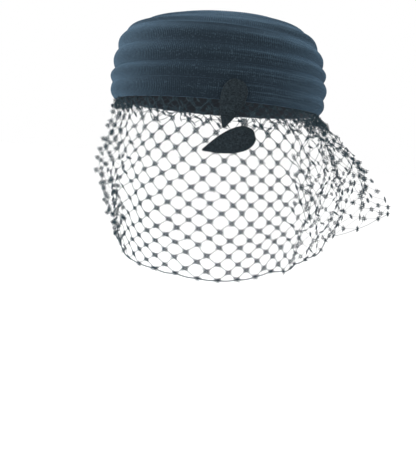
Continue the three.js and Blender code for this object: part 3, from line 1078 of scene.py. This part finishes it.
def crumple(column, row, seed):
    """A smooth unevenness over the net, from a few slanting waves."""
    chance = random.Random(seed)
    total = np.zeros(len(column))
    for _ in range(CRUMPLE_WAVES):
        run = chance.uniform(*CRUMPLE_RUN)
        slant = chance.uniform(*CRUMPLE_SLANT)
        total += np.sin(column * run + row * slant + chance.uniform(0, 2 * math.pi))
    return total / CRUMPLE_LEVEL


def place_net(column, row, chance):
    """Places on the pleated net for lattice columns and rows."""
    # Two of the five rows of chance are spare.
    by_chance = chance.normal(0, 1, (5, len(column)))
    along = np.interp(column, COLUMN_MARKS, ALONG_MARKS)
    down = row / NET_ROWS
    weight = pleat_weight(along) * np.clip(down / PLEAT_ONSET, 0, 1) * (1 - PLEAT_FADE * down)
    gathered = np.clip(GATHER_SHARE * pleat_weight(along), 0, 1)

    # The pleats run down the net, drift sideways and are not quite the same width.
    drift = PLEAT_DRIFT * np.sin(column * DRIFT_TURN + DRIFT_START) * down
    uneven = UNEVEN_PLEATS * np.sin(column * UNEVEN_TURN)
    phase = 2 * math.pi * column / PLEAT_COLUMNS + uneven + drift
    along = along + PLEAT_SHIFT * weight * np.sin(2 * phase + PLEAT_LEAN)
    along = along + CRUMPLE_SHIFT * weight * crumple(column, row, 21)
    along = np.clip(along + CHANCE_SHIFT * by_chance[0], 0, 1)
    down = down + CRUMPLE_FALL * weight * crumple(column, row, 22)
    down = down + CHANCE_FALL * by_chance[1] * (row > 0)
    down = down + HEM_WAVE_FALL * np.sin(column * 1.3 + row * 0.6) * down
    down = down * (1 - TAIL_RISE * np.exp(-(((along - TAIL_MIDDLE) / TAIL_WIDTH) ** 2)))
    points, out = net_surface(along, down)

    # Off the surface: pleats, chance, crumple, a wave in the hem, and the puff at both ends.
    loose = np.clip(down * CHANCE_RISE, 0, 1)
    depth = PLEAT_DEPTH * weight * np.sin(phase)
    depth = depth + (CHANCE_DEPTH + PLEATED_CHANCE_DEPTH * weight) * by_chance[2] * loose
    depth = depth + CRUMPLE_DEPTH * weight * crumple(column, row, 23)
    depth = depth + HEM_WAVE_DEPTH * np.sin(column * 0.9 + 2 * down) * down
    crosswise = np.interp(column, CROSSWISE_MARKS, CROSSWISE_SHARES)
    hanging = np.sin(math.pi * np.clip(down, 0, 1)) ** PUFF_FULLNESS
    puff = PUFF_DEPTH * crumple(PUFF_GRAIN[0] * column, PUFF_GRAIN[1] * row, 24) + PUFF_LIFT
    puff = puff * np.where(column < PUFFED_COLUMNS, 1, CORNER_PUFF)
    depth = depth + crosswise * hanging * puff
    return points + out * depth[:, None], out, gathered, crosswise


# %% [markdown]
# Each thread runs slack from one knot to the next on a slant. A real knot here is a small bundle of
# crossing loops, which looks like a little woven square from afar, so each is made of four short
# thick cords, two on each slant. Where the net is gathered, knots are tumbled and drawn in.

# %% Threads and knots
THREAD_RADIUS = 0.22 * MM
THREAD_SLACK = 0.3 * MM
THREAD_DRAW = 0.5
THREAD_SIDES = 3
THREAD_STOPS = 4
# A thread starts outside the knot's middle, but at most this share of its length from the knot.
THREAD_INSET = 0.25
KNOT_RADIUS = 0.34 * MM
KNOT_TAPER = [0.7, 1, 0.7]
KNOT_SIDES = 4
KNOT_ARM = 2.3 * MM
KNOT_ARM_CHANCE = (0.75, 1.2)
KNOT_SPREAD = 0.58 * MM
KNOT_LIFT = 0.25 * MM
KNOT_DRAW = 0.28
KNOT_TUMBLE = 1.3
KNOT_SQUARING = 1.4
# A slant shorter than this has no knot at either end.
NO_NEIGHBOUR = 0.1 * MM
# The least and the most of a half turn that a knot on crosswise pleats is turned by.
CROSSWISE_TURN = (0.3, 0.7)


def lattice(columns, rows):
    """Lattice places of the knots and the index of each."""
    places = [(c / 2, r / 2) for c in range(2 * columns + 1) for r in range(2 * rows + 1)]
    places = [(c, r) for c, r in places if (round(2 * c) + round(2 * r)) % 2 == 0]
    return places, {place: i for i, place in enumerate(places)}


def thread_paths(points, index, size, chance):
    """Paths of the threads from knot to knot, slightly slack, leaving the knots' middles open."""
    ends = []
    for (column, row), i in index.items():
        for step in (0.5, -0.5):
            j = index.get((column + step, row + 0.5))
            if j is not None:
                ends.append((i, j))
    ends = np.array(ends)
    run = points[ends[:, 1]] - points[ends[:, 0]]
    length = np.linalg.norm(run, axis=-1, keepdims=True)
    inset = run / length * np.minimum(KNOT_SPREAD * size, THREAD_INSET * length)
    start = points[ends[:, 0]] + inset
    finish = points[ends[:, 1]] - inset
    share = np.linspace(0, 1, THREAD_STOPS)[None, :, None]
    paths = start[:, None] * (1 - share) + finish[:, None] * share
    slack = chance.normal(0, THREAD_SLACK, (len(ends), 1, 3))
    return paths + slack * np.sin(math.pi * share), ends


def turned(vectors, axis, angle):
    """Vectors turned about axes, each by its own angle."""
    axis = axis / np.linalg.norm(axis, axis=-1, keepdims=True)
    along = axis * (axis * vectors).sum(axis=-1, keepdims=True)
    beside = vectors - along
    return along + beside * np.cos(angle)[:, None] + np.cross(axis, beside) * np.sin(angle)[:, None]


def knot_paths(points, out, gathered, crosswise, places, index, size, chance):
    """Four short cords at each knot, two on each slant; gathered knots are tumbled about."""
    here = np.arange(len(places))

    def neighbour(step_column, step_row):
        found = [index.get((c + step_column, r + step_row), -1) for c, r in places]
        found = np.array(found)
        return np.where(found < 0, here, found)

    slants = []
    for step in (0.5, -0.5):
        ahead = points[neighbour(step, 0.5)]
        behind = points[neighbour(-step, -0.5)]
        slants.append(ahead - behind)
    # A corner knot has neighbours on one slant only; the other is taken at right angles to it.
    for number in (0, 1):
        missing = np.linalg.norm(slants[number], axis=-1) < NO_NEIGHBOUR
        slants[number][missing] = np.cross(out, slants[1 - number])[missing]
    slants = [s / np.linalg.norm(s, axis=-1, keepdims=True) for s in slants]
    square = np.clip(KNOT_SQUARING * gathered, 0, 1)[:, None]
    slants[1] = slants[1] * (1 - square) + np.cross(out, slants[0]) * square
    axis = chance.normal(0, 1, out.shape) * (1 - crosswise)[:, None]
    axis[:, 2] += 2 * crosswise
    angle = KNOT_TUMBLE * (gathered * chance.normal(0, 1, len(places)) * (1 - crosswise))
    angle = angle + crosswise * chance.uniform(*CROSSWISE_TURN, len(places)) * math.pi
    out, *slants = [turned(vectors, axis, angle) for vectors in (out, *slants)]
    slants = [s / np.linalg.norm(s, axis=-1, keepdims=True) for s in slants]
    drawn_in = 1 - KNOT_DRAW * gathered * (1 - crosswise)
    reach = chance.uniform(*KNOT_ARM_CHANCE, (4, len(places)))
    paths = []
    for number, (slant, cross) in enumerate((slants, slants[::-1])):
        for side in (-1, 1):
            arm = (KNOT_ARM * size * reach[2 * number + (side > 0)] * drawn_in)[:, None]
            middle = points + side * KNOT_SPREAD * size * cross
            lift = out * (KNOT_LIFT if number else -KNOT_LIFT)
            stops = [middle - slant * arm, middle + lift, middle + slant * arm]
            paths.append(np.stack(stops, axis=1))
    outward = np.tile(np.repeat(out[:, None], 3, axis=1), (4, 1, 1))
    thickness = np.array(KNOT_TAPER) * KNOT_RADIUS * size * np.tile(drawn_in, 4)[:, None]
    return np.concatenate(paths), thickness, outward


def build_net(name, columns, rows, placer, size, seed):
    """The tubes, the knots' points and their index of a strip of knotted net."""
    chance = np.random.default_rng(seed)
    places, index = lattice(columns, rows)
    column = np.array([p[0] for p in places])
    row = np.array([p[1] for p in places])
    points, out, gathered, crosswise = placer(column, row, chance)
    threads, ends = thread_paths(points, index, size, chance)
    steps = threads.shape[1]
    thread_out = np.repeat(out[ends[:, 0]][:, None], steps, axis=1)
    radii = THREAD_RADIUS * (1 - THREAD_DRAW * gathered[ends[:, 0]])
    radii = np.repeat(radii[:, None], steps, axis=1)
    knots = knot_paths(points, out, gathered, crosswise, places, index, size, chance)
    paths, thickness, knot_out = knots
    print(name, "knots", len(places), "threads", len(threads))
    parts = [
        tubes(threads, radii, THREAD_SIDES, thread_out),
        tubes(paths, thickness, KNOT_SIDES, knot_out),
    ]
    return parts, points, index


net_parts, net_points, net_index = build_net(
    "veil", COLUMN_MARKS[-1], NET_ROWS, place_net, size=1.0, seed=5
)

# %% [markdown]
# Three details finish the veil. Its upper edge is bunched up under the rim, a second layer lies over
# the first where it is bunched most, and a single thread runs along the hem. The first two are made
# as further strips of the same net, each with its own places, so that all look like one piece.

# %% The bunched heading under the rim
HEADING_COLUMNS = 46
HEADING_ROWS = 3
# Shares of the strip, and there: its drop as a share, and how far its top and its foot stand out.
HEADING_MARKS = [0, 0.2, 0.35, 0.55, 0.75, 1]
HEADING_DROP = [0.03, 0.03, 0.1, 0.12, 0.08, 0.03]
HEADING_SEAT = np.array([-2.5, -2.5, -2.5, -2.5, 0.5, 2]) * MM
HEADING_STAND = np.array([0, 0, 0, 0, 1.4, 3.2]) * MM
HEADING_GATHER = 0.4
HEADING_CHANCE_SHIFT = 0.0028
HEADING_CHANCE_FALL = 0.14
HEADING_CHANCE_DEPTH = 0.9 * MM
HEADING_WAVE_FALL = 0.2
HEADING_WAVE_DEPTH = 1.5 * MM


def place_heading(column, row, chance):
    """Places on the narrow double layer that is bunched up under the rim."""
    by_chance = chance.normal(0, 1, (3, len(column)))
    along = column / HEADING_COLUMNS
    reach = np.interp(along, HEADING_MARKS, HEADING_DROP)
    along = np.clip(along + HEADING_CHANCE_SHIFT * by_chance[0] * (row > 0), 0, 1)
    uneven = HEADING_CHANCE_FALL * by_chance[1] + HEADING_WAVE_FALL * np.sin(column * 2.1)
    fallen = row / HEADING_ROWS
    points, out = net_surface(along, np.clip(reach * fallen * (1 + uneven), 0, 1))
    stand = HEADING_WAVE_DEPTH * np.abs(np.sin(column * 1.7)) + HEADING_CHANCE_DEPTH * by_chance[2]
    stand = stand * fallen
    stand = stand + (1 - fallen) * np.interp(along, HEADING_MARKS, HEADING_SEAT)
    stand = stand + fallen * np.interp(along, HEADING_MARKS, HEADING_STAND)
    gathered = np.maximum(pleat_weight(along), HEADING_GATHER)
    return points + out * stand[:, None], out, gathered, np.zeros(len(column))


net_parts += build_net(
    "heading", HEADING_COLUMNS, HEADING_ROWS, place_heading, size=0.85, seed=8
)[0]

# %% The doubled layer on the +X side
DOUBLE_COLUMNS = 8
DOUBLE_ROWS = 5
DOUBLE_SPAN = (0.6, 0.86)
DOUBLE_DROP = 0.62
DOUBLE_WAVE_FALL = 0.15
DOUBLE_CRUMPLE_SHIFT = 0.01
DOUBLE_CRUMPLE_FALL = 0.03
DOUBLE_CRUMPLE_DEPTH = 3.5 * MM
DOUBLE_CHANCE_DEPTH = 0.6 * MM
DOUBLE_LIFT = 1.5 * MM


def place_double(column, row, chance):
    """Places on the second layer, which lies over the net where it is bunched most."""
    by_chance = chance.normal(0, 1, len(column))
    along = np.interp(column, [0, DOUBLE_COLUMNS], DOUBLE_SPAN)
    along = np.clip(along + DOUBLE_CRUMPLE_SHIFT * crumple(column, row, 31), 0, 1)
    down = DOUBLE_DROP * row / DOUBLE_ROWS * (1 + DOUBLE_WAVE_FALL * np.sin(column * 1.1))
    down = down + DOUBLE_CRUMPLE_FALL * crumple(column, row, 32) * (row > 0)
    points, out = net_surface(along, np.clip(down, 0, 1))
    stand = DOUBLE_LIFT + DOUBLE_CRUMPLE_DEPTH * crumple(column, row, 33)
    stand = (stand + DOUBLE_CHANCE_DEPTH * by_chance) * np.clip(down * 6, 0, 1)
    return points + out * stand[:, None], out, pleat_weight(along), np.zeros(len(column))


net_parts += build_net(
    "double", DOUBLE_COLUMNS, DOUBLE_ROWS, place_double, size=0.95, seed=9
)[0]

# %% The hem
# The hem thread's radius along the strip, as shares of a net thread's: finest at the free corner.
HEM_MARKS = [0, 0.2, 0.75, 0.88, 1]
HEM_WEIGHTS = [1, 1.8, 1.8, 0.8, 0.8]
HEM_STOPS = 5
HEM_SAG = 0.8 * MM
HEM_SAG_CHANCE = (0.3, 1.6)


def row_of_knots(row):
    """The points of the net's knots in a row, along the strip."""
    return np.array([net_points[net_index[p]] for p in sorted(net_index) if p[1] == row])


def edge_thread(stops, seed):
    """A thread through a chain of knots, slack between them."""
    chance = np.random.default_rng(seed)
    start = stops[:-1]
    finish = stops[1:]
    share = np.linspace(0, 1, HEM_STOPS)[None, :, None]
    paths = start[:, None] * (1 - share) + finish[:, None] * share
    sag = np.zeros((len(start), 1, 3))
    sag[:, 0, 2] = -HEM_SAG * chance.uniform(*HEM_SAG_CHANCE, len(start))
    paths = paths + sag * np.sin(math.pi * share)
    outward = np.broadcast_to([0.0, 0.0, 1.0], paths.shape)
    radii = THREAD_RADIUS * np.interp(np.linspace(0, 1, len(start)), HEM_MARKS, HEM_WEIGHTS)
    radii = np.repeat(radii[:, None], paths.shape[1], axis=1)
    return tubes(paths, radii, THREAD_SIDES, outward)


net_parts.append(edge_thread(row_of_knots(NET_ROWS), seed=11))

# %% The veil
veil = add_piece("veil_net", *join_parts(net_parts), net_thread)
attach(veil, "root")
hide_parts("veil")

# %% [markdown]
# Each leaf is a teardrop of padded velvet. Its back follows the rim and the net behind it, so the
# back's curve is fitted to the solid leaf. The front is pushed out to a soft crown that falls off
# steeply at the edge. The outline is a quarter wave from the tip to the widest place, and from there
# a quarter circle to the round end.

# %% The velvet leaves
LEAF_STEPS = 40
LEAF_SIDES = 16
LEAF_CROWN = 2.0 * MM
LEAF_EDGE = 0.7 * MM
# The rest are shares of the length: the widest place, what is cut off at both ends, and how far the
# crown fades towards them. At the tip it starts with this much of its height.
LEAF_WIDEST = 0.72
LEAF_TIP_CUT = 0.03
LEAF_END_CUT = 0.015
LEAF_TIP_FADE = 0.1
LEAF_END_FADE = 0.12
LEAF_TIP_FULL = 0.15
LEAF_DOME = 0.4
# Node, length, width, place of the tip across and up as shares of the length, and lean in degrees.
LEAVES = [
    ("leaf_hanging", 31 * MM, 15.5 * MM, 0.16, -0.58, 14),
    ("leaf_crosswise", 34.5 * MM, 15 * MM, -0.206, -0.909, 69.5),
]


def seat_terms(across, up):
    """The terms, up to squares, of a smooth function of a place across and up."""
    return np.stack([np.ones_like(across), across, up, across**2, across * up, up**2], axis=-1)


def fit_seat(node):
    """The depth of a leaf's back as a smooth function of its place across and up."""
    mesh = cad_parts[node].data
    spots = np.empty(len(mesh.vertices) * 3)
    mesh.vertices.foreach_get("co", spots)
    spots = spots.reshape(-1, 3)
    middle = spots.mean(axis=0)
    terms = seat_terms(spots[:, 0] - middle[0], spots[:, 2] - middle[2])
    depth = spots[:, 1]

    # The first fit lies between front and back; the points behind it are then fitted alone.
    weights = np.linalg.lstsq(terms, depth, rcond=None)[0]
    behind = depth > terms @ weights
    weights = np.linalg.lstsq(terms[behind], depth[behind], rcond=None)[0]

    def seat(x, z):
        return seat_terms(x - middle[0], z - middle[2]) @ weights

    return seat


def leaf_outline():
    """Shares of the leaf's length, closer at both ends, and its half width at each."""
    spaced = 0.5 - 0.5 * np.cos(math.pi * np.linspace(0, 1, LEAF_STEPS + 1))
    shares = LEAF_TIP_CUT + (1 - LEAF_TIP_CUT - LEAF_END_CUT) * spaced
    towards_end = np.clip((shares - LEAF_WIDEST) / (1 - LEAF_WIDEST), 0, 1)
    pointed = np.sin(np.clip(shares / LEAF_WIDEST, 0, 1) * math.pi / 2)
    rounded = np.sqrt(1 - towards_end**2)
    return shares, np.where(shares < LEAF_WIDEST, pointed, rounded)


def build_leaf(node, length, width, tip_across, tip_up, lean):
    """A padded leaf with a sharp tip and a round end."""
    seat = fit_seat(node)
    turn = math.radians(lean)
    shares, widths = leaf_outline()
    sides = np.linspace(-1, 1, LEAF_SIDES + 1)
    rings = []
    for share, full in zip(shares, widths):
        run = share * length
        aside = sides * width / 2 * full
        across = tip_across * length + run * math.sin(turn) + aside * math.cos(turn)
        up = tip_up * length + run * math.cos(turn) - aside * math.sin(turn)
        back = seat(across, up)
        from_tip = (share - shares[0]) / LEAF_TIP_FADE + LEAF_TIP_FULL
        from_end = (shares[-1] - share) / LEAF_END_FADE
        dome = (1 - sides**2) ** LEAF_DOME * math.sqrt(min(1, from_end, from_tip))
        front = back - LEAF_EDGE - LEAF_CROWN * full * dome
        front_row = np.stack([across, front, up], axis=-1)
        back_row = np.stack([across, back, up], axis=-1)
        rings.append(np.concatenate([back_row, front_row[::-1]]))
    size = len(rings[0])
    faces, corner_rings, corner_places = grid_faces(len(rings), size)
    last = (len(rings) - 1) * size
    faces.append(list(range(size))[::-1])
    faces.append([last + place for place in range(size)])
    quad_uvs = np.stack([corner_rings, corner_places], axis=-1).reshape(-1, 2)
    uvs = np.concatenate([quad_uvs, np.zeros((2 * size, 2))])
    piece = add_piece(node + "_velvet", np.concatenate(rings), faces, uvs, velvet)
    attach(piece, "root")
    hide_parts(node)
    return piece


leaf_pieces = [build_leaf(*leaf) for leaf in LEAVES]
print("leaves", [(leaf.name, len(leaf.data.polygons)) for leaf in leaf_pieces])

# %% [markdown]
# Faces made from a grid can point either way, and a piece that is inside out shades and exports
# wrongly. Recalculating the normals turns them outwards. The cap's were turned before its wall.


# %% Outward faces
def face_outwards(piece):
    """Turns a closed piece's faces outwards."""
    bpy.ops.object.select_all(action="DESELECT")
    piece.select_set(True)
    bpy.context.view_layer.objects.active = piece
    bpy.ops.object.mode_set(mode="EDIT")
    bpy.ops.mesh.select_all(action="SELECT")
    bpy.ops.mesh.normals_make_consistent(inside=False)
    bpy.ops.object.mode_set(mode="OBJECT")


for piece in fold_pieces + [centre_piece, veil] + leaf_pieces:
    face_outwards(piece)
triangle_total = 0
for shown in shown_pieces():
    if shown.type == "MESH":
        triangle_total += sum(len(polygon.vertices) - 2 for polygon in shown.data.polygons)
print("triangles in all", triangle_total)
